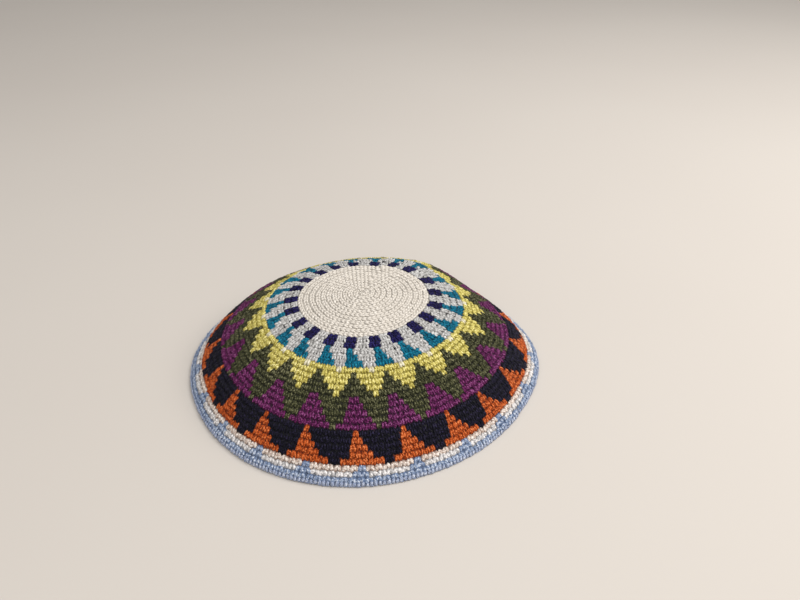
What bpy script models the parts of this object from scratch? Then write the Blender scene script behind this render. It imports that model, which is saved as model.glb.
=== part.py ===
"""Crocheted kippah skullcap: a shallow dome of crocheted fabric with a border round its rim.

Metres, +Z up. The cap lies open side down on the plane z = 0, with its front towards -Y. The
origin is the middle of its outline on that plane.
"""

from collections import namedtuple
from math import cos, pi, radians, sin

import bmesh
import bpy
import numpy as np
from mathutils import Matrix, Vector

# Driving sizes
RIM_RADIUS = 0.0830
CAP_HEIGHT = 0.0378
WALL = 0.0022
BORDER_WIDTH = 0.0083
EDGE_ROLL = 0.0032
FOOT_FLAT = 0.0005
JOIN_GAP = 0.0003
RIM_SLOPE = radians(45)

# How finely the fabric is faceted
SEGMENTS = 84
CROWN_LEVELS = 18
CROWN_INNER_LEVELS = 12
BORDER_LEVELS = 3
ROLL_STEPS = 8
SMOOTH_ANGLE = radians(50)

# How far either side of a point the fabric's direction is measured there
STEP_TURN = 1.0
STEP_DOWN = 0.004

# The fabric's outer profile from the top of the crown to the rim. Each level gives its distance
# out from the axis as a share of the rim's radius, and its height as a share of the way from the
# rim up to the top.
Level = namedtuple("Level", "out up")
PROFILE = [
    Level(out=0.000, up=1.000),
    Level(out=0.050, up=0.998),
    Level(out=0.110, up=0.990),
    Level(out=0.220, up=0.963),
    Level(out=0.331, up=0.920),
    Level(out=0.443, up=0.858),
    Level(out=0.554, up=0.770),
    Level(out=0.655, up=0.640),
    Level(out=0.757, up=0.492),
    Level(out=0.857, up=0.328),
    Level(out=0.938, up=0.150),
    Level(out=1.000, up=0.000),
]

# How the soft cap has settled on each side, by the turn in degrees from the front towards the
# right. Rim is how far the rim spreads, flank how far the flank bulges and shoulder how far the
# shoulder stands up, each as a share of the cap's radius or height. The top of the crown, down
# to TOP_END of the way, stays as the profile has it; the flank's and the shoulder's own changes
# are greatest at FLANK_AT and SHOULDER_AT of the way down.
Side = namedtuple("Side", "turn rim flank shoulder")
SIDES = [
    Side(turn=0, rim=0.004, flank=0.000, shoulder=0.000),
    Side(turn=30, rim=-0.016, flank=0.000, shoulder=0.000),
    Side(turn=60, rim=-0.016, flank=0.000, shoulder=0.000),
    Side(turn=90, rim=0.010, flank=-0.012, shoulder=0.000),
    Side(turn=110, rim=-0.035, flank=-0.012, shoulder=0.000),
    Side(turn=125, rim=-0.068, flank=-0.024, shoulder=0.000),
    Side(turn=140, rim=-0.080, flank=0.000, shoulder=0.045),
    Side(turn=160, rim=-0.080, flank=0.000, shoulder=0.005),
    Side(turn=180, rim=-0.070, flank=0.000, shoulder=-0.035),
    Side(turn=210, rim=-0.055, flank=0.000, shoulder=-0.045),
    Side(turn=240, rim=-0.045, flank=0.000, shoulder=0.000),
    Side(turn=270, rim=0.000, flank=-0.012, shoulder=0.000),
    Side(turn=300, rim=-0.004, flank=0.000, shoulder=0.000),
    Side(turn=330, rim=0.008, flank=0.000, shoulder=0.000),
]
TOP_END = 0.25
FLANK_AT = 0.72
SHOULDER_AT = 0.60

CROWN_YARN = (0.72, 0.69, 0.62, 1.0)
BORDER_YARN = (0.36, 0.47, 0.66, 1.0)


def smooth_curve(stations, values, x):
    """Value at x of the cubic curve through the values at the stations."""
    slopes = np.gradient(values, stations)
    i = int(np.clip(np.searchsorted(stations, x) - 1, 0, len(stations) - 2))
    step = stations[i + 1] - stations[i]
    t = (x - stations[i]) / step
    return (
        (1 + 2 * t) * (1 - t) ** 2 * values[i]
        + t * (1 - t) ** 2 * step * slopes[i]
        + t * t * (3 - 2 * t) * values[i + 1]
        + t * t * (t - 1) * step * slopes[i + 1]
    )


def round_curve(stations, values, turn):
    """The same for a curve that closes on itself after a full turn of 360 degrees."""
    wrapped_stations = np.concatenate([stations[-2:] - 360, stations, stations[:2] + 360])
    wrapped_values = np.concatenate([values[-2:], values, values[:2]])
    return smooth_curve(wrapped_stations, wrapped_values, turn % 360)


OUT = np.array([level.out for level in PROFILE])
UP = np.array([level.up for level in PROFILE])
TURN = np.array([float(side.turn) for side in SIDES])
RIM = np.array([side.rim for side in SIDES])
FLANK = np.array([side.flank for side in SIDES])
SHOULDER = np.array([side.shoulder for side in SIDES])

# The profile ends over the rolled edge, whose middle is half the wall in from the outer face.
ROLL_RADIUS = EDGE_ROLL / 2
RIM_RISE = ROLL_RADIUS - FOOT_FLAT + WALL / 2 * cos(RIM_SLOPE)
RIM_INSET = ROLL_RADIUS - WALL / 2 * sin(RIM_SLOPE)

# Length of the profile from the top to its end, and each level's share of the way down it
CHORDS = np.hypot(np.diff(OUT) * (RIM_RADIUS - RIM_INSET), np.diff(UP) * (CAP_HEIGHT - RIM_RISE))
MERIDIAN = float(CHORDS.sum())
DOWN = np.concatenate([[0.0], np.cumsum(CHORDS)]) / MERIDIAN


def hump(down, middle):
    """A soft rise from 0 at the end of the crown's top to 1 at the middle and 0 at the rim."""
    share = (down - TOP_END) / (middle - TOP_END) if down < middle else (1 - down) / (1 - middle)
    t = max(share, 0.0)
    return t * t * (3 - 2 * t)


def outer_point(turn, down):
    """Point on the fabric's outer face, at a turn in degrees and a share of the way down."""
    rim = round_curve(TURN, RIM, turn)
    flank = round_curve(TURN, FLANK, turn)
    shoulder = round_curve(TURN, SHOULDER, turn)
    spread = 1 + rim * down * down + flank * hump(down, FLANK_AT)
    out = (RIM_RADIUS - RIM_INSET) * smooth_curve(DOWN, OUT, down) * spread
    rise = smooth_curve(DOWN, UP, down) + shoulder * hump(down, SHOULDER_AT)
    up = RIM_RISE + (CAP_HEIGHT - RIM_RISE) * rise
    angle = radians(turn)
    return Vector((out * sin(angle), -out * cos(angle), up))


def fabric_frame(turn, down):
    """The outer point, the outward normal there and the direction down the fabric."""
    low = min(down + STEP_DOWN, 1.0)
    high = max(down - STEP_DOWN, 0.0)
    along = (outer_point(turn, low) - outer_point(turn, high)).normalized()
    if down == 0.0:
        return outer_point(turn, down), Vector((0, 0, 1)), along
    across = outer_point(turn + STEP_TURN, down) - outer_point(turn - STEP_TURN, down)
    return outer_point(turn, down), along.cross(across).normalized(), along


def fabric_point(turn, down, depth):
    """Point inside the fabric, at a depth below its outer face; negative stands proud."""
    point, normal, _ = fabric_frame(turn, down)
    return point - normal * depth


JOIN = 1 - (BORDER_WIDTH - ROLL_RADIUS) / MERIDIAN
CROWN_END = JOIN - JOIN_GAP / 2 / MERIDIAN
BORDER_START = JOIN + JOIN_GAP / 2 / MERIDIAN
TURNS = [360 * i / SEGMENTS for i in range(SEGMENTS)]


def crown_section(turn):
    """Points of the crown's wall at one turn: down its outer face, then back up inside."""
    outer = np.linspace(0, CROWN_END, CROWN_LEVELS + 1)[1:]
    inner = np.linspace(CROWN_END, 0, CROWN_INNER_LEVELS + 1)[:-1]
    return [fabric_point(turn, down, 0.0) for down in outer] + [
        fabric_point(turn, down, WALL) for down in inner
    ]


def border_section(turn):
    """Points round the border's wall at one turn: outer face, rolled edge, then inner face."""
    swell = ROLL_RADIUS - WALL / 2

    def proud(down):
        share = (down - BORDER_START) / (1 - BORDER_START)
        return swell * share * share

    downs = np.linspace(BORDER_START, 1, BORDER_LEVELS + 1)
    points = [fabric_point(turn, down, -proud(down)) for down in downs]
    rim, normal, along = fabric_frame(turn, 1.0)
    middle = rim - normal * (WALL / 2)
    for i in range(1, ROLL_STEPS):
        angle = pi * i / ROLL_STEPS
        spoke = normal * cos(angle) + along * sin(angle)
        points.append(middle + spoke * ROLL_RADIUS)
    points += [fabric_point(turn, down, WALL + proud(down)) for down in reversed(downs)]
    for point in points:
        point.z = max(point.z, 0.0)
    return points


def skin(bm, sections, closed):
    """Joins neighbouring sections, each a list of vertices, with faces."""
    count = len(sections[0])
    for here, beside in zip(sections, sections[1:] + sections[:1]):
        for i in range(count if closed else count - 1):
            j = (i + 1) % count
            bm.faces.new((here[i], here[j], beside[j], beside[i]))


def cap_pole(bm, sections, index, point):
    """Closes the hole that the sections leave round the axis with a fan of faces."""
    pole = bm.verts.new(point)
    for here, beside in zip(sections, sections[1:] + sections[:1]):
        bm.faces.new((here[index], beside[index], pole))


def yarn(name, colour):
    """A plain matt yarn material."""
    material = bpy.data.materials.new(name)
    material.use_nodes = True
    shader = material.node_tree.nodes["Principled BSDF"]
    shader.inputs["Base Color"].default_value = colour
    shader.inputs["Roughness"].default_value = 0.9
    shader.inputs["Metallic"].default_value = 0.0
    return material


def finish(bm, name, material):
    """Turns the built mesh into a named object with its faces pointing outwards."""
    bmesh.ops.recalc_face_normals(bm, faces=bm.faces[:])
    mesh = bpy.data.meshes.new(name)
    bm.to_mesh(mesh)
    bm.free()
    mesh.materials.append(material)
    mesh.shade_smooth()
    mesh.set_sharp_from_angle(angle=SMOOTH_ANGLE)
    piece = bpy.data.objects.new(name, mesh)
    bpy.context.scene.collection.objects.link(piece)
    return piece


def make_crown():
    """The domed crown, open below."""
    bm = bmesh.new()
    sections = [[bm.verts.new(point) for point in crown_section(turn)] for turn in TURNS]
    skin(bm, sections, closed=False)
    cap_pole(bm, sections, 0, fabric_point(0, 0.0, 0.0))
    cap_pole(bm, sections, -1, fabric_point(0, 0.0, WALL))
    return finish(bm, "crown", yarn("crown_yarn", CROWN_YARN))


def make_border():
    """The border round the rim, with its rolled edge flattened where it rests."""
    bm = bmesh.new()
    sections = [[bm.verts.new(point) for point in border_section(turn)] for turn in TURNS]
    skin(bm, sections, closed=True)
    return finish(bm, "border", yarn("border_yarn", BORDER_YARN))


def centre_outline(crown, border):
    """Moves both pieces so that the middle of the border's outline is on the origin."""
    corners = np.array([vertex.co[:] for vertex in border.data.vertices])
    middle = (corners.min(axis=0) + corners.max(axis=0)) / 2
    shift = Vector((-middle[0], -middle[1], 0))
    for piece in (crown, border):
        piece.data.transform(Matrix.Translation(shift))


def main():
    for old in list(bpy.data.objects):
        bpy.data.objects.remove(old, do_unlink=True)
    crown = make_crown()
    border = make_border()
    centre_outline(crown, border)


main()
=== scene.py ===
"""Crocheted kippah skullcap: looks.

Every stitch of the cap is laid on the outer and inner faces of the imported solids. The charts
below say which yarn each stitch is worked in. Metres, +Z up, front towards -Y.
"""

from collections import namedtuple
from math import cos, pi, radians, sin

import bmesh
import bpy
import numpy as np
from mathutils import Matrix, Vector
from mathutils.bvhtree import BVHTree
from mathutils.kdtree import KDTree


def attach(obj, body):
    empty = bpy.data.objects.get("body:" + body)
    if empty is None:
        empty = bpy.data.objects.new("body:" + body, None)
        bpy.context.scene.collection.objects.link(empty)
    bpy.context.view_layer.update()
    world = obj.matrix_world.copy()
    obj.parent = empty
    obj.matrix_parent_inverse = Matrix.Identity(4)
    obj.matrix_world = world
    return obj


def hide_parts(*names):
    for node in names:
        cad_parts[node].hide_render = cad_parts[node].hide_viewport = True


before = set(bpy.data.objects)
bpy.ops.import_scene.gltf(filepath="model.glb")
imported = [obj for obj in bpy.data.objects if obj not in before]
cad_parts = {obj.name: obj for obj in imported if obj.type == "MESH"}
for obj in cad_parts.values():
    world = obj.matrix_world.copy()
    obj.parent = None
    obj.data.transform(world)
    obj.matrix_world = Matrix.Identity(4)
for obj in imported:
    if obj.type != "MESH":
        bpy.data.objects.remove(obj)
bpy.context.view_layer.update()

MM = 0.001
UP = Vector((0, 0, 1))

# The rolled edge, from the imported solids' own sizes
EDGE_RADIUS = 1.6 * MM
EDGE_RISE = 1.1 * MM

# How the solids are read: rays through a point on the axis below the cap, the first of each turn
# a hair off the axis, and how finely the edge's roll is followed
EYE_DROP = 40 * MM
RAY_REACH = 300 * MM
RAY_LEAN = 0.002
RAY_TURNS = 252
RAY_COUNT = 120
ROLL_COUNT = 14

# The grid of points that each face is kept as. A place is read from the row above it and the row
# below, so the last place is just short of the last row.
GRID_LAPS = 200
LAST_PLACE = GRID_LAPS - 1.001

# Rounds of stitches, by their lap: the distance from the top of the crown down the fabric
EDGE_LAP = 93.25 * MM
RoundMark = namedtuple("RoundMark", "round lap")
ROUND_MARKS = [
    RoundMark(round=1, lap=0.0 * MM),
    RoundMark(round=13, lap=29.6 * MM),
    RoundMark(round=15, lap=36.4 * MM),
    RoundMark(round=18, lap=46.6 * MM),
    RoundMark(round=23, lap=59.3 * MM),
    RoundMark(round=28, lap=72.7 * MM),
    RoundMark(round=33, lap=86.2 * MM),
    RoundMark(round=34, lap=88.4 * MM),
    RoundMark(round=35, lap=90.7 * MM),
    RoundMark(round=36, lap=92.8 * MM),
    RoundMark(round=39, lap=98.1 * MM),
]

# The rounds where the charts, the yellow triangles, the border and its rolled edge start, the round
# after the last, and the turn in degrees where each round runs on into the next
CHART_START = 13
YELLOW_ROUND = 18
BORDER_ROUND = 33
EDGE_ROUND = 36
LAST_ROUND = 39
SEAM_TURN = 165.0

# The kind of stitch that the charted rounds are worked in, up to the one before each of these
ShapeMark = namedtuple("ShapeMark", "below shape")
SHAPES = [
    ShapeMark(YELLOW_ROUND, "loop"),
    ShapeMark(EDGE_ROUND, "lobes"),
    ShapeMark(LAST_ROUND, "wrap"),
]

# The plain centre gains as many stitches each round, and starts each a little further on
CENTRE_GROWTH = 7
ROUND_SHIFT = 0.618

# The crochet's own centre lies in front of the axis. The rounds ease back round the axis by
# the first yellow one.
CENTRE_FORWARD = 2.6 * MM
CENTRE_LAP = 47.0 * MM

# How far either side of a stitch the direction down the fabric is measured
SHORT_LAP = 0.3 * MM

# How far the rounds sag on each side, by the turn in degrees: sag is for the rounds round the
# middle of the cap and rim for those round the border's start, each most at its own lap
SAG_LAP = 34.0 * MM
SAG_REACH = 14.0 * MM
RIM_LAP = 86.0 * MM
RIM_REACH = 7.2 * MM
Side = namedtuple("Side", "turn sag rim")
SIDES = [
    Side(turn=0, sag=0.0 * MM, rim=0.0 * MM),
    Side(turn=30, sag=-0.5 * MM, rim=0.0 * MM),
    Side(turn=50, sag=-1.1 * MM, rim=-0.1 * MM),
    Side(turn=75, sag=-0.7 * MM, rim=-0.5 * MM),
    Side(turn=100, sag=0.0 * MM, rim=-1.6 * MM),
    Side(turn=118, sag=1.7 * MM, rim=-1.2 * MM),
    Side(turn=140, sag=0.8 * MM, rim=0.0 * MM),
    Side(turn=200, sag=0.9 * MM, rim=0.0 * MM),
    Side(turn=226, sag=1.0 * MM, rim=0.0 * MM),
    Side(turn=245, sag=1.9 * MM, rim=-0.6 * MM),
    Side(turn=270, sag=1.4 * MM, rim=-1.2 * MM),
    Side(turn=300, sag=0.8 * MM, rim=-0.4 * MM),
    Side(turn=330, sag=0.3 * MM, rim=-0.2 * MM),
]

# How often each motif is worked round the cap
REPEATS = 21

# The turns in degrees, from the front towards the right, that the motifs of each repeat are set
# out from. The crochet is looser in some places, so they aren't evenly spaced. Repeats that a kind
# leaves out, at the back, are evenly spaced between those on either side.
MOTIF_TURNS = {
    "square": {
        0: -6.8, 1: 11.0, 2: 27.4, 3: 46.8, 4: 63.3, 5: 81.4, 6: 99.4, 7: 118.2, 8: 139.9, 9: 155.8,
        10: 172.0, 11: 192.0, 12: 208.6, 13: 224.5, 14: 241.2, 15: 254.9, 16: 271.5, 17: 286.7,
        18: 304.8, 19: 321.1, 20: 338.0,
    },
    "wedge": {
        0: -2.5, 1: 14.0, 2: 30.5, 3: 48.5, 4: 66.5, 5: 83.8, 6: 100.5, 7: 119.5, 8: 141.0, 9: 157.5,
        14: 243.5, 15: 259.0, 16: 275.2, 17: 291.5, 18: 309.8, 19: 325.8, 20: 342.2,
    },
    "yellow": {
        0: 7.5, 1: 23.2, 2: 40.0, 3: 57.5, 4: 76.4, 5: 94.0,
        15: 264.3, 16: 282.5, 17: 300.4, 18: 317.1, 19: 333.9, 20: 351.1,
    },
    "purple": {
        0: -1.4, 1: 14.3, 2: 30.7, 3: 46.8, 4: 65.7, 5: 84.3,
        16: 274.3, 17: 290.7, 18: 308.1, 19: 325.4, 20: 342.1,
    },
    "orange": {
        0: -0.5, 1: 15.4, 2: 31.9, 3: 47.4, 4: 64.6, 5: 83.9,
        16: 277.1, 17: 294.6, 18: 310.7, 19: 327.1, 20: 343.0,
    },
    "border": {
        0: 1.3, 1: 17.5, 2: 33.6, 3: 49.3, 4: 67.1, 5: 84.5,
        16: 282.9, 17: 297.9, 18: 313.9, 19: 329.6, 20: 345.0,
    },
}

# One repeat of each patterned round: so many stitches, of which the first few are the motif's.
# Middle is the motif's middle, in degrees from the turn that its kind is set out from.
Chart = namedtuple("Chart", "round kind period motif stitches ground middle")
CHARTS = [
    Chart(13, "square", 4, "indigo", 2, "cool_white", 0.2),
    Chart(14, "square", 4, "indigo", 2, "cool_white", -0.2),
    Chart(15, "square", 4, "teal", 1, "cool_white", 0.9),
    Chart(16, "wedge", 5, "teal", 2, "cool_white", -1.3),
    Chart(17, "wedge", 5, "teal", 3, "cool_white", 0.0),
    Chart(18, "yellow", 6, "tooth_white", 1, "yellow", -1.0),
    Chart(19, "yellow", 6, "yellow", 5, "olive", -1.8),
    Chart(20, "yellow", 6, "yellow", 4, "olive", -1.4),
    Chart(21, "yellow", 7, "yellow", 3, "olive", -0.5),
    Chart(22, "yellow", 7, "yellow", 1, "olive", 0.0),
    Chart(23, "purple", 8, "purple", 2, "olive", -0.1),
    Chart(24, "purple", 8, "purple", 3, "olive", 0.6),
    Chart(25, "purple", 8, "purple", 4, "olive", 1.0),
    Chart(26, "purple", 8, "purple", 5, "olive", 1.5),
    Chart(27, "purple", 8, "purple", 7, "olive", 1.1),
    Chart(28, "orange", 9, "orange", 1, "navy", 0.1),
    Chart(29, "orange", 9, "orange", 2, "navy", 0.6),
    Chart(30, "orange", 9, "orange", 3, "navy", 1.2),
    Chart(31, "orange", 9, "orange", 4, "navy", 2.0),
    Chart(32, "orange", 10, "orange", 8, "navy", 2.3),
    Chart(33, "border", 7, "blue", 1, "warm_white", 0.4),
    Chart(34, "border", 7, "blue", 2, "border_white", 0.0),
    Chart(35, "border", 7, "blue", 7, "blue", 0.0),
    Chart(36, "border", 14, "pale_blue", 14, "pale_blue", 0.0),
    Chart(37, "border", 14, "pale_blue", 14, "pale_blue", 0.2),
    Chart(38, "border", 14, "pale_blue", 14, "pale_blue", 0.4),
]

# Where a carried yarn shows as a dark dot between the white stitches: its place in rounds, and how
# many stitches it lies to the right of the middle of its square or wedge
Dot = namedtuple("Dot", "round along")
DOTS = [
    Dot(13.75, -1.35),
    Dot(14.10, 1.15),
    Dot(14.90, -1.40),
    Dot(15.90, -1.20),
    Dot(16.80, -1.80),
]

# Each yarn's colour, the darker colour of the painted shade in the gaps between its stitches and
# down the sides and ends of its strands, and the paler colour of the painted highlights on its
# crests and fibres, which its worn patches also lean towards, as 8-bit values
Yarn = namedtuple("Yarn", "slot colour gap fleck")
YARNS = {
    "white": Yarn("crown_yarn", (214, 208, 200), (204, 198, 189), (242, 238, 231)),
    "cool_white": Yarn("crown_yarn", (190, 190, 189), (154, 153, 152), (238, 238, 240)),
    "tooth_white": Yarn("crown_yarn", (214, 210, 186), (188, 180, 150), (246, 242, 224)),
    "indigo": Yarn("crown_yarn", (20, 16, 78), (9, 6, 38), (52, 48, 114)),
    "teal": Yarn("crown_yarn", (0, 104, 134), (0, 72, 94), (26, 138, 162)),
    "yellow": Yarn("crown_yarn", (207, 196, 108), (144, 132, 54), (248, 240, 180)),
    "olive": Yarn("crown_yarn", (64, 66, 38), (26, 28, 16), (132, 130, 100)),
    "purple": Yarn("crown_yarn", (100, 21, 83), (48, 9, 42), (154, 94, 143)),
    "navy": Yarn("crown_yarn", (8, 6, 26), (3, 3, 12), (44, 38, 70)),
    "orange": Yarn("crown_yarn", (190, 83, 24), (108, 40, 12), (228, 144, 90)),
    "warm_white": Yarn("border_yarn", (214, 204, 196), (160, 138, 126), (248, 241, 235)),
    "border_white": Yarn("border_yarn", (214, 211, 211), (156, 156, 158), (250, 248, 250)),
    "blue": Yarn("border_yarn", (142, 157, 182), (90, 108, 140), (220, 226, 236)),
    "pale_blue": Yarn("border_yarn", (172, 182, 204), (128, 141, 170), (236, 240, 250)),
}

# A strand's shape, in the stitch's own width, height and thickness: stations along each of its
# paths, from tip to tip, its half width and half thickness, and the sides round it. Depth is how
# far below the fabric's face the stitch lies.
Station = namedtuple("Station", "x y z girth")
Strand = namedtuple("Strand", "paths girth sides lean thick depth")
STRANDS = {
    # A strand along the round over two legs: the ring of squares and wedges
    "loop": Strand(
        [
            [
                Station(-0.56, 0.12, -0.42, 0.0),
                Station(-0.36, 0.22, 0.04, 0.85),
                Station(-0.02, 0.30, 0.17, 1.0),
                Station(0.32, 0.27, 0.06, 0.85),
                Station(0.54, 0.20, -0.42, 0.0),
            ],
            [
                Station(-0.12, 0.14, -0.42, 0.0),
                Station(-0.20, 0.00, 0.06, 0.9),
                Station(-0.26, -0.20, 0.17, 1.05),
                Station(-0.31, -0.38, 0.00, 0.9),
                Station(-0.33, -0.52, -0.42, 0.0),
            ],
            [
                Station(0.14, 0.14, -0.42, 0.0),
                Station(0.20, -0.02, 0.06, 0.9),
                Station(0.25, -0.22, 0.17, 1.05),
                Station(0.29, -0.38, 0.00, 0.9),
                Station(0.31, -0.52, -0.42, 0.0),
            ],
        ],
        girth=(0.24, 0.42),
        sides=6,
        lean=radians(6),
        thick=1.00 * MM,
        depth=0.56 * MM,
    ),
    # Two short plump legs: the coloured triangles and the border
    "lobes": Strand(
        [
            [
                Station(-0.13, 0.48, -0.42, 0.0),
                Station(-0.16, 0.30, 0.00, 0.95),
                Station(-0.22, 0.08, 0.17, 1.1),
                Station(-0.29, -0.16, 0.14, 1.05),
                Station(-0.33, -0.35, -0.05, 0.9),
                Station(-0.35, -0.50, -0.42, 0.0),
            ],
            [
                Station(0.15, 0.50, -0.42, 0.0),
                Station(0.18, 0.31, 0.02, 0.95),
                Station(0.22, 0.09, 0.18, 1.1),
                Station(0.27, -0.14, 0.13, 1.05),
                Station(0.30, -0.33, -0.06, 0.9),
                Station(0.32, -0.48, -0.42, 0.0),
            ],
        ],
        girth=(0.27, 0.42),
        sides=6,
        lean=radians(6),
        thick=1.00 * MM,
        depth=0.56 * MM,
    ),
    # Two strands that lie along the round: the plain centre
    "braid": Strand(
        [
            [
                Station(-0.60, 0.06, -0.40, 0.0),
                Station(-0.34, 0.12, 0.00, 0.85),
                Station(0.00, 0.22, 0.14, 1.0),
                Station(0.32, 0.28, 0.02, 0.85),
                Station(0.56, 0.32, -0.40, 0.0),
            ],
            [
                Station(-0.60, -0.10, -0.40, 0.0),
                Station(-0.32, -0.14, 0.04, 0.9),
                Station(0.02, -0.22, 0.18, 1.0),
                Station(0.34, -0.28, 0.02, 0.85),
                Station(0.58, -0.36, -0.40, 0.0),
            ],
        ],
        girth=(0.25, 0.40),
        sides=6,
        lean=0.0,
        thick=0.90 * MM,
        depth=0.50 * MM,
    ),
    # One plump strand over the rolled edge
    "wrap": Strand(
        [
            [
                Station(-0.12, -0.62, -0.40, 0.0),
                Station(-0.08, -0.36, 0.04, 0.9),
                Station(0.00, 0.00, 0.12, 1.0),
                Station(0.08, 0.36, 0.04, 0.9),
                Station(0.12, 0.62, -0.40, 0.0),
            ],
        ],
        girth=(0.46, 0.40),
        sides=6,
        lean=0.0,
        thick=0.80 * MM,
        depth=0.46 * MM,
    ),
    # A speck of carried yarn
    "dot": Strand(
        [
            [
                Station(-0.16, 0.06, -0.30, 0.0),
                Station(0.00, 0.00, 0.00, 1.0),
                Station(0.16, -0.06, -0.30, 0.0),
            ],
        ],
        girth=(0.12, 0.40),
        sides=6,
        lean=0.0,
        thick=0.80 * MM,
        depth=0.12 * MM,
    ),
    # The back of a stitch, on the inside of the cap
    "bar": Strand(
        [
            [
                Station(-0.58, 0.10, -0.30, 0.0),
                Station(-0.30, 0.06, 0.00, 0.9),
                Station(0.10, -0.02, 0.05, 1.0),
                Station(0.42, -0.08, -0.05, 0.8),
                Station(0.62, -0.12, -0.35, 0.0),
            ],
        ],
        girth=(0.40, 0.50),
        sides=5,
        lean=0.0,
        thick=0.90 * MM,
        depth=0.50 * MM,
    ),
}

# How unevenly the stitches lie: the most that one is turned, in radians, made bigger or smaller,
# as a share of its size, and shifted, and how far apart two yarns' random seeds are
TURN_JITTER = 0.14
SIZE_JITTER = 0.12
SHIFT_JITTER = 0.12 * MM
SEED_GAP = 10

# The wall of carried yarn, which is coloured as painted shade in the gaps between the stitches, by
# its depth below each face and its rows down the outside and up the inside, and how far clear of
# the floor everything stays
CARRIED_DEPTH = 0.50 * MM
Wall = namedtuple("Wall", "face depth rows way")
WALLS = [
    Wall(face="outer", depth=CARRIED_DEPTH, rows=96, way=1),
    Wall(face="inner", depth=-CARRIED_DEPTH, rows=54, way=-1),
]
FLOOR_LIFT = 0.03 * MM

# The yarn's surface: how fine its fibres, fuzz, specks and worn patches are, and how far its fibres
# stand out. Then the carried yarn's fibres, and how dark it gets between them.
FIBRE_SCALE = 1.3
FUZZ_SCALE = 2400.0
SPECK_SCALE = 1700.0
WEAR_SCALE = 45.0
FIBRE_RELIEF = 0.14 * MM
CARRIED_SCALE = 1800.0
CARRIED_RELIEF = 0.2 * MM
CARRIED_SHADE = (0.35, 0.35, 0.35, 1.0)

# The floor, with the 8-bit colours that it clouds between, and the light
FLOOR_SIZE = 6.0
FLOOR_COLOURS = ((193, 187, 181), (199, 194, 188))
FLOOR_CLOUD_SCALE = 3.0
ROOM_COLOUR = (1.0, 0.97, 0.94, 1.0)
ROOM_STRENGTH = 0.55
LAMP_COLOUR = (1.0, 0.97, 0.93)
Lamp = namedtuple("Lamp", "name place size power")
LAMPS = [
    Lamp("key_window", place=(0.68, -0.02, 0.85), size=0.85, power=11.6),
    Lamp("front_fill", place=(-0.2, -1.0, 0.9), size=1.2, power=5.2),
]

# The photograph's view: the camera's place, its fall below the level in degrees, and its lens and
# sensor in millimetres
CAMERA_PLACE = (0.01655, -0.25160, 0.20195)
CAMERA_PITCH = 33.77
CAMERA_LENS = 29.7
CAMERA_SENSOR = 36.0


def linear(rgb):
    """Linear colour of an 8-bit one."""
    shares = np.array(rgb, float) / 255
    low = shares / 12.92
    high = ((shares + 0.055) / 1.055) ** 2.4
    return tuple(np.where(shares <= 0.04045, low, high)) + (1.0,)


def unit(vectors):
    """The vectors at length one."""
    return vectors / np.maximum(np.linalg.norm(vectors, axis=-1, keepdims=True), 1e-12)


def hump(lap, middle, reach):
    """A rise to 1 at the middle lap, from 0 where it is the reach away from it."""
    return np.clip(1 - ((lap - middle) / reach) ** 2, 0, 1)


def eased(turn, lap):
    """The turn and lap about the axis of a place counted from the crochet's own centre."""
    angle = np.radians(turn)
    turns, sags, rims = zip(*SIDES)
    sag = np.interp(turn, turns, sags, period=360)
    rim = np.interp(turn, turns, rims, period=360)
    lap = lap + sag * hump(lap, SAG_LAP, SAG_REACH) + rim * hump(lap, RIM_LAP, RIM_REACH)
    right = lap * np.sin(angle)
    front = lap * np.cos(angle) + CENTRE_FORWARD * hump(lap, 0, CENTRE_LAP)
    return np.degrees(np.arctan2(right, front)), np.hypot(right, front)


# The faces of the fabric


def frame_tree():
    """Search tree over the two solids, and the place of the axis."""
    points = []
    faces = []
    for node in ("crown", "border"):
        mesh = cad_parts[node].data
        start = len(points)
        points += [vertex.co.copy() for vertex in mesh.vertices]
        faces += [[start + i for i in polygon.vertices] for polygon in mesh.polygons]
    top = max(points, key=lambda point: point.z)
    return BVHTree.FromPolygons(points, faces), Vector((top.x, top.y, 0))


def smoothed(reach):
    """Ray lengths with the joint's gap bridged and the facets' corners eased."""
    middle = np.nanmedian([reach[:, :-2], reach[:, 1:-1], reach[:, 2:]], axis=0)
    reach = np.concatenate([reach[:, :1], middle, reach[:, -1:]], axis=1)
    reach = (np.roll(reach, 1, 0) + 2 * reach + np.roll(reach, -1, 0)) / 4
    middle = (reach[:, :-2] + 2 * reach[:, 1:-1] + reach[:, 2:]) / 4
    return np.concatenate([reach[:, :1], middle, reach[:, -1:]], axis=1)


class Face:
    """One face of the fabric as a grid of points, by turn and by lap."""

    def __init__(self, points, laps):
        self.laps = np.linspace(0, laps[:, -1].min(), GRID_LAPS)
        self.points = np.array(
            [
                [np.interp(self.laps, laps[i], points[i, :, axis]) for axis in range(3)]
                for i in range(len(points))
            ]
        ).transpose(0, 2, 1)
        across = unit(np.roll(self.points, -1, 0) - np.roll(self.points, 1, 0))
        down = unit(np.gradient(self.points, axis=1))
        self.out = unit(np.cross(down, across))
        self.out[:, 0] = (0, 0, 1)

    def read(self, grid, turn, lap):
        """Values of a grid at turns in degrees and laps."""
        column = np.asarray(turn) % 360 / 360 * len(grid)
        row = np.clip(np.asarray(lap) / self.laps[1], 0, LAST_PLACE)
        i = column.astype(int) % len(grid)
        j = row.astype(int)
        u = (column % 1)[..., None]
        v = (row - j)[..., None]
        beside = (i + 1) % len(grid)
        near = grid[i, j] * (1 - v) + grid[i, j + 1] * v
        far = grid[beside, j] * (1 - v) + grid[beside, j + 1] * v
        return near * (1 - u) + far * u

    def point(self, turn, lap):
        """Points on the face."""
        return self.read(self.points, *eased(turn, lap))

    def place(self, turn, lap, depth):
        """Points a depth below the face, with the directions out and down there."""
        out = unit(self.read(self.out, *eased(turn, lap)))
        above = self.point(turn, np.maximum(lap - SHORT_LAP, 0))
        below = self.point(turn, lap + SHORT_LAP)
        return self.point(turn, lap) - out * depth, out, unit(below - above)


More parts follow.
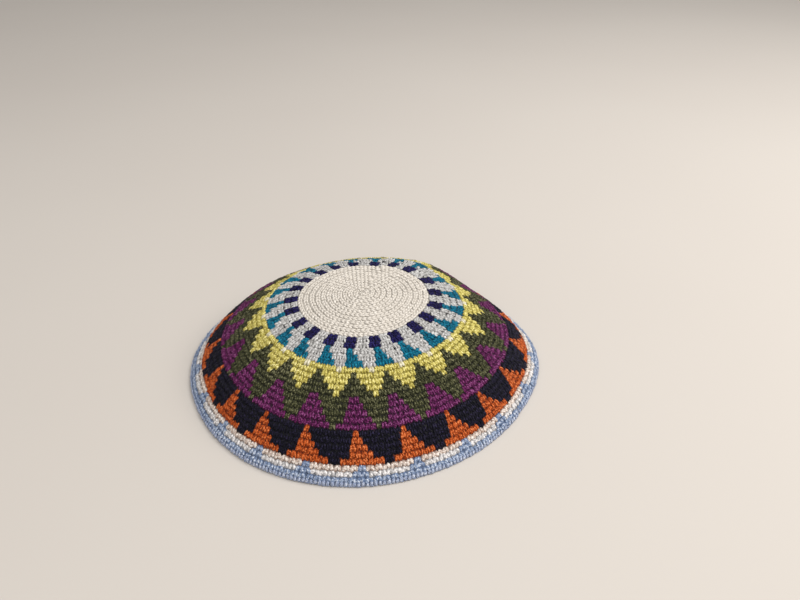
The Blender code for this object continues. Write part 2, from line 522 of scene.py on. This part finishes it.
Rays = namedtuple("Rays", "side middle lifts outer inner")


def cast_rays(tree, eye, turn):
    """Rays from the eye at one turn, from the top down to the middle of the rolled edge."""
    side = Vector((sin(turn), -cos(turn), 0))
    level = eye + UP * (EYE_DROP + EDGE_RISE)
    edge = tree.ray_cast(level + side * RAY_REACH, -side)[0]
    middle = edge - side * EDGE_RADIUS
    lowest = np.arctan2(EDGE_RISE + EYE_DROP, (middle - eye).xy.length)
    lifts = np.linspace(pi / 2 - RAY_LEAN, lowest, RAY_COUNT)
    ways = [side * cos(lift) + UP * sin(lift) for lift in lifts]
    outer = [tree.ray_cast(eye + way * RAY_REACH, -way)[3] for way in ways]
    inner = [tree.ray_cast(eye, way)[3] for way in ways]
    return Rays(side, middle, lifts, RAY_REACH - np.array(outer, float), np.array(inner, float))


def points_along(eye, ways, lengths):
    """Points of one face where its rays meet it, and their laps."""
    points = np.array(eye) + ways * smoothed(lengths)[..., None]
    steps = np.linalg.norm(np.diff(points, axis=1), axis=2)
    laps = np.concatenate([np.zeros((RAY_TURNS, 1)), np.cumsum(steps, axis=1)], axis=1)
    return points, laps * (EDGE_LAP / laps[:, -1:])


def read_faces():
    """The fabric's outer face, carried on round the rolled edge, and its inner face."""
    tree, axis = frame_tree()
    eye = axis - UP * EYE_DROP
    turns = [2 * pi * step / RAY_TURNS for step in range(RAY_TURNS)]
    rays = Rays(*map(np.array, zip(*[cast_rays(tree, eye, turn) for turn in turns])))
    sides = rays.side[:, None, :]
    lifts = rays.lifts[..., None]
    ways = sides * np.cos(lifts) + np.array(UP) * np.sin(lifts)
    outer, laps = points_along(eye, ways, rays.outer)
    fall = np.linspace(0, pi, ROLL_COUNT)[1:]
    angles = lifts[:, -1:] - fall[None, :, None]
    spokes = sides * np.cos(angles) + np.array(UP) * np.sin(angles)
    roll = rays.middle[:, None, :] + EDGE_RADIUS * spokes
    past = np.tile(EDGE_LAP + EDGE_RADIUS * fall, (RAY_TURNS, 1))
    return {
        "outer": Face(np.concatenate([outer, roll], axis=1), np.concatenate([laps, past], axis=1)),
        "inner": Face(*points_along(eye, ways, rays.inner)),
    }


# The rounds of stitches


def lap_at(rounds):
    """Lap of places counted in rounds."""
    marks = np.array(ROUND_MARKS, float)
    return np.interp(rounds, marks[:, 0], marks[:, 1])


def spiral(number, turn):
    """Places in rounds of stitches: each round runs on into the next at the seam."""
    share = (np.asarray(turn) - SEAM_TURN) % 360 / 360
    fade = np.clip((EDGE_ROUND - number) / (EDGE_ROUND - BORDER_ROUND), 0, 1)
    return number + 0.5 + (share - 0.5) * fade


def motif_turns(kind):
    """The turns that a kind of motif is set out from, one for each repeat, in order."""
    seen = MOTIF_TURNS[kind]
    numbers = [*seen, REPEATS]
    turns = [*seen.values(), seen[0] + 360]
    return np.interp(np.arange(REPEATS), numbers, turns)


Stitches = namedtuple("Stitches", "turn rounds span yarn shape")


def repeat_spans(chart):
    """The middle of a round's motif in each repeat, and the turn that each stitch spans there."""
    middles = motif_turns(chart.kind) + chart.middle
    ahead = (np.roll(middles, -1) - middles) % 360
    behind = np.roll(ahead, 1)
    return middles, (ahead + behind) / 2 / chart.period


def lay_centre():
    """The plain rounds of the centre, one row of values for each stitch."""
    rows = []
    for number in range(1, CHART_START):
        count = CENTRE_GROWTH * number
        for k in range(count):
            turn = SEAM_TURN - 360 * (k + number * ROUND_SHIFT % 1) / count
            rows.append((turn, spiral(number, turn), 360 / count, "white", "braid"))
    return rows


def lay_chart(chart):
    """One patterned round, one row of values for each stitch."""
    shape = next(mark.shape for mark in SHAPES if chart.round < mark.below)
    middles, spans = repeat_spans(chart)
    starts = middles - spans * chart.stitches / 2
    ends = middles + spans * chart.stitches / 2
    remaining = chart.period - chart.stitches
    rows = []
    for i in range(REPEATS):
        for k in range(chart.stitches):
            turn = starts[i] + spans[i] * (k + 0.5)
            rows.append((turn, spiral(chart.round, turn), spans[i], chart.motif, shape))
        for k in range(remaining):
            span = (starts[(i + 1) % REPEATS] - ends[i]) % 360 / remaining
            turn = ends[i] + span * (k + 0.5)
            rows.append((turn, spiral(chart.round, turn), span, chart.ground, shape))
    return rows


def lay_dots():
    """The dots of carried yarn, one row of values for each."""
    rows = []
    for dot in DOTS:
        chart = next(chart for chart in CHARTS if chart.round == int(dot.round))
        for middle, span in zip(*repeat_spans(chart)):
            turn = middle + span * dot.along
            rows.append((turn, spiral(dot.round - 0.5, turn), span, "navy", "dot"))
    return rows


def lay_rounds():
    """Every stitch: its turn, its place in rounds, the turn it spans, its yarn and its shape."""
    rows = lay_centre() + lay_dots()
    for chart in CHARTS:
        rows += lay_chart(chart)
    return Stitches(*[np.array(column) for column in zip(*rows)])


# Shapes


def add_path(bm, stations, strand):
    """A closed plump strand along one path."""
    spine = [Vector((s.x, s.y, s.z)) for s in stations]
    rings = []
    for i in range(1, len(spine) - 1):
        along = (spine[i + 1] - spine[i - 1]).normalized()
        flat = along.cross(UP).normalized()
        rise = flat.cross(along)
        ring = []
        for k in range(strand.sides):
            angle = 2 * pi * (k + 0.5) / strand.sides
            spoke = flat * cos(angle) * strand.girth[0] + rise * sin(angle) * strand.girth[1]
            ring.append(bm.verts.new(spine[i] + spoke * stations[i].girth))
        rings.append(ring)
    for here, beyond in zip(rings, rings[1:]):
        for k in range(strand.sides):
            j = (k + 1) % strand.sides
            bm.faces.new((here[k], here[j], beyond[j], beyond[k]))
    for ring, tip in ((rings[0], spine[0]), (rings[-1], spine[-1])):
        point = bm.verts.new(tip)
        for k in range(strand.sides):
            bm.faces.new((ring[k], ring[(k + 1) % strand.sides], point))


def strand_shape(name, strand):
    """A stitch's strands as an object for the rounds to repeat."""
    bm = bmesh.new()
    for stations in strand.paths:
        add_path(bm, stations, strand)
    bmesh.ops.recalc_face_normals(bm, faces=bm.faces[:])
    mesh = bpy.data.meshes.new(name)
    bm.to_mesh(mesh)
    bm.free()
    mesh.shade_smooth()
    own_place = mesh.attributes.new("strand", "FLOAT_VECTOR", "POINT")
    corners = np.array([vertex.co[:] for vertex in mesh.vertices], np.float32)
    own_place.data.foreach_set("vector", corners.ravel())
    shape = bpy.data.objects.new(name, mesh)
    bpy.context.scene.collection.objects.link(shape)
    return shape


class Tree:
    """A node tree that is built by calls: each adds a node and returns the socket it gives."""

    def __init__(self, tree):
        self.tree = tree

    def node(self, kind, settings=None, inputs=None, output=0):
        """Adds a node, with its settings first and then its inputs' values or links."""
        made = self.tree.nodes.new(kind)
        for key, value in (settings or {}).items():
            setattr(made, key, value)
        for key, value in (inputs or {}).items():
            socket = made.inputs[key]
            if isinstance(value, Wire):
                self.tree.links.new(value.socket, socket)
            else:
                socket.default_value = value
        return Wire(self, made.outputs[output]) if made.outputs else None


class Wire:
    """A socket in a tree, which sums take like a number."""

    def __init__(self, tree, socket):
        self.tree = tree
        self.socket = socket

    def maths(self, operation, *values):
        """A Math node's result for the values."""
        return self.tree.node("ShaderNodeMath", {"operation": operation}, dict(enumerate(values)))

    def __add__(self, other):
        return self.maths("ADD", self, other)

    def __sub__(self, other):
        return self.maths("SUBTRACT", self, other)

    def __mul__(self, other):
        return self.maths("MULTIPLY", self, other)

    def __rsub__(self, other):
        return self.maths("SUBTRACT", other, self)

    __radd__ = __add__
    __rmul__ = __mul__

    def clamped(self):
        """The value held between 0 and 1."""
        return self.tree.node("ShaderNodeClamp", {}, {"Value": self})


# Rounds of stitches, repeated by Geometry Nodes


def rounds_tree():
    """Tree that sets a stitch on each point, turned to the fabric and varied a little."""
    group = bpy.data.node_groups.new("crochet_rounds", "GeometryNodeTree")
    sockets = [
        ("Points", "NodeSocketGeometry"),
        ("Stitch", "NodeSocketObject"),
        ("Yarn", "NodeSocketMaterial"),
        ("Lean", "NodeSocketFloat"),
        ("Turn Jitter", "NodeSocketFloat"),
        ("Size Jitter", "NodeSocketFloat"),
        ("Shift Jitter", "NodeSocketFloat"),
        ("Seed", "NodeSocketInt"),
    ]
    for name, kind in sockets:
        group.interface.new_socket(name, in_out="INPUT", socket_type=kind)
    group.interface.new_socket("Rounds", in_out="OUTPUT", socket_type="NodeSocketGeometry")
    tree = Tree(group)
    source = group.nodes.new("NodeGroupInput")
    given = {name: Wire(tree, source.outputs[name]) for name, _ in sockets}

    def stored(name):
        return tree.node(
            "GeometryNodeInputNamedAttribute", {"data_type": "FLOAT_VECTOR"}, {"Name": name}
        )

    def vector_maths(operation, *values):
        return tree.node("ShaderNodeVectorMath", {"operation": operation}, dict(enumerate(values)))

    def scattered(reach, seed):
        """A random vector on each point, as far as the reach either way."""
        spread = tree.node(
            "FunctionNodeRandomValue",
            {"data_type": "FLOAT_VECTOR"},
            {"Min": (-1, -1, -1), "Max": (1, 1, 1), "Seed": seed},
        )
        return tree.node(
            "ShaderNodeVectorMath", {"operation": "SCALE"}, {0: spread, "Scale": reach}
        )

    facing = tree.node(
        "FunctionNodeAxesToRotation",
        {"primary_axis": "Z", "secondary_axis": "Y"},
        {0: stored("out"), 1: stored("up")},
    )
    leaning = tree.node("ShaderNodeCombineXYZ", {}, {"Z": given["Lean"]})
    loose = vector_maths("ADD", leaning, scattered(given["Turn Jitter"], given["Seed"]))
    turned = tree.node(
        "FunctionNodeRotateRotation",
        {"rotation_space": "LOCAL"},
        {"Rotation": facing, "Rotate By": loose},
    )
    uneven = vector_maths("ADD", scattered(given["Size Jitter"], given["Seed"] + 1), (1, 1, 1))
    scale = vector_maths("MULTIPLY", stored("size"), uneven)
    shade = tree.node(
        "FunctionNodeRandomValue",
        {"data_type": "FLOAT"},
        {"Min": -1.0, "Max": 1.0, "Seed": given["Seed"] + 2},
        output=1,
    )
    shaded = tree.node(
        "GeometryNodeStoreNamedAttribute",
        {"data_type": "FLOAT", "domain": "POINT"},
        {"Geometry": given["Points"], "Name": "shade", "Value": shade},
    )
    shift = scattered(given["Shift Jitter"], given["Seed"] + 3)
    shifted = tree.node("GeometryNodeSetPosition", {}, {"Geometry": shaded, "Offset": shift})
    stitch = tree.node("GeometryNodeObjectInfo", {}, {"Object": given["Stitch"]}, output="Geometry")
    repeated = tree.node(
        "GeometryNodeInstanceOnPoints",
        {},
        {"Points": shifted, "Instance": stitch, "Rotation": turned, "Scale": scale},
    )
    real = tree.node("GeometryNodeRealizeInstances", {}, {"Geometry": repeated})
    dyed = tree.node("GeometryNodeSetMaterial", {}, {"Geometry": real, "Material": given["Yarn"]})
    sink = group.nodes.new("NodeGroupOutput")
    group.links.new(dyed.socket, sink.inputs["Rounds"])
    return group


def points_object(name, points, out, up, size):
    """A mesh of loose points that carries how each stitch faces and how big it is."""
    mesh = bpy.data.meshes.new(name)
    mesh.from_pydata([tuple(point) for point in points], [], [])
    for key, values in (("out", out), ("up", up), ("size", size)):
        attribute = mesh.attributes.new(key, "FLOAT_VECTOR", "POINT")
        attribute.data.foreach_set("vector", np.asarray(values, np.float32).ravel())
    piece = bpy.data.objects.new(name, mesh)
    bpy.context.scene.collection.objects.link(piece)
    return piece


def work_rounds(name, group, material, shape, lean, places, seed):
    """The stitches of one yarn as a plain mesh."""
    source = points_object(name + "_points", *places)
    modifier = source.modifiers.new("rounds", "NODES")
    modifier.node_group = group
    values = {
        "Stitch": shape,
        "Yarn": material,
        "Lean": lean,
        "Turn Jitter": TURN_JITTER,
        "Size Jitter": SIZE_JITTER,
        "Shift Jitter": SHIFT_JITTER,
        "Seed": seed,
    }
    for key, value in values.items():
        modifier[group.interface.items_tree[key].identifier] = value
    bpy.context.view_layer.update()
    depsgraph = bpy.context.evaluated_depsgraph_get()
    mesh = bpy.data.meshes.new_from_object(source.evaluated_get(depsgraph))
    bpy.data.objects.remove(source)
    for key in ("out", "up", "size"):
        mesh.attributes.remove(mesh.attributes[key])
    rest_on_floor(mesh)
    mesh.name = name
    piece = bpy.data.objects.new(name, mesh)
    bpy.context.scene.collection.objects.link(piece)
    return piece


def rest_on_floor(mesh):
    """Flattens whatever would reach below the floor."""
    corners = np.empty(len(mesh.vertices) * 3, np.float32)
    mesh.vertices.foreach_get("co", corners)
    corners[2::3] = np.maximum(corners[2::3], FLOOR_LIFT)
    mesh.vertices.foreach_set("co", corners)
    mesh.update()


# Materials


def yarn_material(name, yarn):
    """Plied cotton yarn: each stitch has its own shade, fibres, specks and worn patches,
    with painted highlights on its crests and painted shade down its sides and at its ends.
    """
    material = bpy.data.materials.new(name)
    material.use_nodes = True
    material.node_tree.nodes.clear()
    tree = Tree(material.node_tree)

    def noise(vector, scale, detail):
        """Noise about zero."""
        return tree.node(
            "ShaderNodeTexNoise", {}, {"Vector": vector, "Scale": scale, "Detail": detail}
        ) - 0.5

    def mixed(factor, low, high):
        return tree.node(
            "ShaderNodeMix", {"data_type": "RGBA"}, {"Factor": factor, 6: low, 7: high}, output=2
        )

    place = tree.node("ShaderNodeTexCoord", output="Object")
    shade = tree.node("ShaderNodeAttribute", {"attribute_name": "shade"}, output="Fac")
    strand = tree.node("ShaderNodeAttribute", {"attribute_name": "strand"}, output="Vector")
    across, along, height = (
        tree.node("ShaderNodeSeparateXYZ", {}, {0: strand}, output=axis) for axis in range(3)
    )
    own_fibres = tree.node(
        "ShaderNodeCombineXYZ",
        {},
        {"X": across * 4.4 + along * 1.8, "Y": along * 1.3 - across * 0.6, "Z": shade * 60.0},
    )
    fibres = noise(own_fibres, FIBRE_SCALE, 1.0)
    fuzz = noise(place, FUZZ_SCALE, 2.0)
    specks = noise(place, SPECK_SCALE, 0.0)
    worn = noise(place, WEAR_SCALE, 2.0)
    # Higher parts of each strand lighter and lower ones darker: painted light and shade
    crest_light = (height * 0.7 + 0.4).clamped()
    ends = along * along
    # Random specks and fuzz: they vary the tone at random and set where painted glints fall
    speckle = specks * 2.0 + fuzz * 1.3
    # Tone runs from the painted gap shade to the yarn's own colour: the strands' low sides and their
    # ends, in the grooves where the rounds meet, get painted shade, and the fibres, specks and each
    # stitch's shade vary it at random
    tone = (crest_light * 0.4 + 0.38 + fibres * 2.4 + speckle + shade * 0.12 - ends * 1.4).clamped()
    # Glint mixes on towards the highlight colour: painted highlights on the high crests and on the
    # fibres' and specks' ridges, less at the strands' ends, and more on the worn patches, which is
    # real wear
    glint = (crest_light * 0.4 - 0.36 + fibres * 2.2 + speckle + worn * 0.6 - ends * 1.0).clamped()
    bump = tree.node(
        "ShaderNodeBump",
        {},
        {"Height": fibres * 1.4 + fuzz, "Strength": 0.9, "Distance": FIBRE_RELIEF},
    )
    shader = tree.node(
        "ShaderNodeBsdfPrincipled",
        {},
        {
            "Base Color": mixed(
                glint, mixed(tone, linear(yarn.gap), linear(yarn.colour)), linear(yarn.fleck)
            ),
            "Roughness": 0.8 - tone * 0.2,
            "Normal": bump,
            "Sheen Weight": 0.03,
            "Sheen Roughness": 0.4,
            "Specular IOR Level": 0.15,
        },
    )
    tree.node("ShaderNodeOutputMaterial", {}, {"Surface": shader})
    return material


def carried_yarn_material():
    """The yarn carried inside the stitches, which shows in the gaps between them: coloured with the
    nearby yarns' painted gap shade, and darker still between its fibres as painted shade.
    """
    material = bpy.data.materials.new("carried_yarn")
    material.use_nodes = True
    material.node_tree.nodes.clear()
    tree = Tree(material.node_tree)
    place = tree.node("ShaderNodeTexCoord", output="Object")
    # The carried attribute holds each nearby yarn's gap colour: painted shade in the gaps
    colour = tree.node("ShaderNodeAttribute", {"attribute_name": "carried"}, output="Color")
    fibres = tree.node(
        "ShaderNodeTexNoise", {}, {"Vector": place, "Scale": CARRIED_SCALE, "Detail": 3.0}
    )
    dark = tree.node(
        "ShaderNodeMix",
        {"data_type": "RGBA", "blend_type": "MULTIPLY"},
        {"Factor": fibres, 6: colour, 7: CARRIED_SHADE},
        output=2,
    )
    bump = tree.node(
        "ShaderNodeBump", {}, {"Height": fibres, "Strength": 0.6, "Distance": CARRIED_RELIEF}
    )
    shader = tree.node(
        "ShaderNodeBsdfPrincipled",
        {},
        {"Base Color": dark, "Roughness": 0.8 + fibres * 0.15, "Normal": bump},
    )
    tree.node("ShaderNodeOutputMaterial", {}, {"Surface": shader})
    return material


def floor_material():
    """Plain pale floor."""
    material = bpy.data.materials.new("pale_floor")
    material.use_nodes = True
    material.node_tree.nodes.clear()
    tree = Tree(material.node_tree)
    place = tree.node("ShaderNodeTexCoord", output="Object")
    cloud = tree.node(
        "ShaderNodeTexNoise", {}, {"Vector": place, "Scale": FLOOR_CLOUD_SCALE, "Detail": 2.0}
    )
    dark, pale = (linear(colour) for colour in FLOOR_COLOURS)
    tone = tree.node(
        "ShaderNodeMix", {"data_type": "RGBA"}, {"Factor": cloud, 6: dark, 7: pale}, output=2
    )
    shader = tree.node("ShaderNodeBsdfPrincipled", {}, {"Base Color": tone, "Roughness": 0.9})
    tree.node("ShaderNodeOutputMaterial", {}, {"Surface": shader})
    return material


# Pieces


def stitch_places(stitches, chosen, face, strand, side):
    """Places, facings and sizes of the chosen stitches: side is 1 outside and -1 inside."""
    turn = stitches.turn[chosen]
    rounds = stitches.rounds[chosen]
    half = stitches.span[chosen] / 2
    lap = lap_at(rounds)
    points, out, down = face.place(turn, lap, side * strand.depth)
    width = np.linalg.norm(face.point(turn + half, lap) - face.point(turn - half, lap), axis=1)
    height = lap_at(rounds + 0.5) - lap_at(rounds - 0.5)
    size = np.stack([width, height, np.full(len(width), strand.thick)], axis=1)
    return points, side * out, -down, size


def carried_wall_rows(faces):
    """Rows of points, down the outer wall of carried yarn and up the inner one."""
    turns = np.arange(RAY_TURNS) * 360 / RAY_TURNS
    rows = []
    for wall in WALLS:
        face = faces[wall.face]
        laps = np.linspace(0, face.laps[-1], wall.rows + 2)[1:-1][:: wall.way]
        rows += [face.place(turns, np.full(RAY_TURNS, lap), wall.depth)[0] for lap in laps]
    rows = np.array(rows)
    rows[..., 2] = np.maximum(rows[..., 2], FLOOR_LIFT)
    return rows


def carried_wall_mesh(faces):
    """The closed wall of carried yarn as a mesh."""
    bm = bmesh.new()
    rings = [[bm.verts.new(point) for point in row] for row in carried_wall_rows(faces)]
    for here, below in zip(rings, rings[1:]):
        for k in range(RAY_TURNS):
            j = (k + 1) % RAY_TURNS
            bm.faces.new((here[k], below[k], below[j], here[j]))
    top = np.array([0.0])
    for ring, wall in zip((rings[0], rings[-1]), WALLS):
        pole = bm.verts.new(faces[wall.face].place(top, top, wall.depth)[0][0])
        for k in range(RAY_TURNS):
            bm.faces.new((ring[k], ring[(k + 1) % RAY_TURNS], pole))
    bmesh.ops.recalc_face_normals(bm, faces=bm.faces[:])
    mesh = bpy.data.meshes.new("carried_yarn_wall")
    bm.to_mesh(mesh)
    bm.free()
    mesh.shade_smooth()
    return mesh


def paint_gap_shade_on_wall(mesh, faces, stitches):
    """Paints shade on the wall: each place gets the painted gap shade of the yarn worked nearest to
    it.
    """
    places = faces["outer"].place(stitches.turn, lap_at(stitches.rounds), CARRIED_DEPTH)[0]
    finder = KDTree(len(places))
    for i, place in enumerate(places):
        finder.insert(place, i)
    finder.balance()
    gap_shades = {name: linear(yarn.gap) for name, yarn in YARNS.items()}
    nearest = [finder.find(vertex.co)[1] for vertex in mesh.vertices]
    colours = np.array([gap_shades[stitches.yarn[i]] for i in nearest], np.float32)
    carried = mesh.attributes.new("carried", "FLOAT_COLOR", "POINT")
    carried.data.foreach_set("color", colours.ravel())


def make_carried_wall(faces, stitches, material):
    """The closed wall of carried yarn behind the stitches on both faces, coloured as painted shade in
    the gaps.
    """
    mesh = carried_wall_mesh(faces)
    mesh.materials.append(material)
    paint_gap_shade_on_wall(mesh, faces, stitches)
    piece = bpy.data.objects.new("carried_yarn_wall", mesh)
    bpy.context.scene.collection.objects.link(piece)
    return piece


def make_cap():
    """Every piece of the cap, each riding on the one body."""
    faces = read_faces()
    stitches = lay_rounds()
    group = rounds_tree()
    shapes = {name: strand_shape(name + "_strand", strand) for name, strand in STRANDS.items()}
    core = make_carried_wall(faces, stitches, carried_yarn_material())
    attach(core, "root")
    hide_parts("crown", "border")
    shows_inside = (stitches.rounds < EDGE_ROUND) & (stitches.shape != "dot")
    for number, (name, yarn) in enumerate(YARNS.items()):
        material = yarn_material(name + "_yarn", yarn)
        node = "border" if yarn.slot == "border_yarn" else "crown"
        mine = stitches.yarn == name
        for step, (kind, strand) in enumerate(STRANDS.items()):
            inside = kind == "bar"
            chosen = mine & (shows_inside if inside else stitches.shape == kind)
            if not chosen.any():
                continue
            face = faces["inner" if inside else "outer"]
            places = stitch_places(stitches, chosen, face, strand, -1 if inside else 1)
            seed = SEED_GAP * number + step
            piece = work_rounds(
                f"{name}_{kind}", group, material, shapes[kind], strand.lean, places, seed
            )
            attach(piece, "root")
            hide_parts(node)
    for shape in shapes.values():
        bpy.data.objects.remove(shape)


# Room and view


def make_room():
    """The floor and the soft light of the room round it."""
    bpy.ops.mesh.primitive_plane_add(size=FLOOR_SIZE)
    floor = bpy.context.object
    floor.name = "floor"
    floor.data.materials.append(floor_material())
    world = bpy.data.worlds.new("soft_room")
    world.use_nodes = True
    background = world.node_tree.nodes["Background"]
    background.inputs["Color"].default_value = ROOM_COLOUR
    background.inputs["Strength"].default_value = ROOM_STRENGTH
    bpy.context.scene.world = world


def make_lamp(lamp):
    """A soft square light that faces the cap."""
    light = bpy.data.lights.new(lamp.name, "AREA")
    light.size = lamp.size
    light.energy = lamp.power
    light.color = LAMP_COLOUR
    shown = bpy.data.objects.new(lamp.name, light)
    shown.location = lamp.place
    shown.rotation_euler = (-Vector(lamp.place)).to_track_quat("-Z", "Y").to_euler()
    bpy.context.scene.collection.objects.link(shown)


def make_camera():
    """The photograph's view."""
    data = bpy.data.cameras.new("photo_camera")
    data.lens = CAMERA_LENS
    data.sensor_width = CAMERA_SENSOR
    camera = bpy.data.objects.new("photo_camera", data)
    camera.location = CAMERA_PLACE
    camera.rotation_euler = (radians(90 - CAMERA_PITCH), 0, 0)
    bpy.context.scene.collection.objects.link(camera)
    bpy.context.scene.camera = camera
    bpy.context.scene.view_settings.view_transform = "Standard"


make_room()
for lamp in LAMPS:
    make_lamp(lamp)
make_camera()
make_cap()
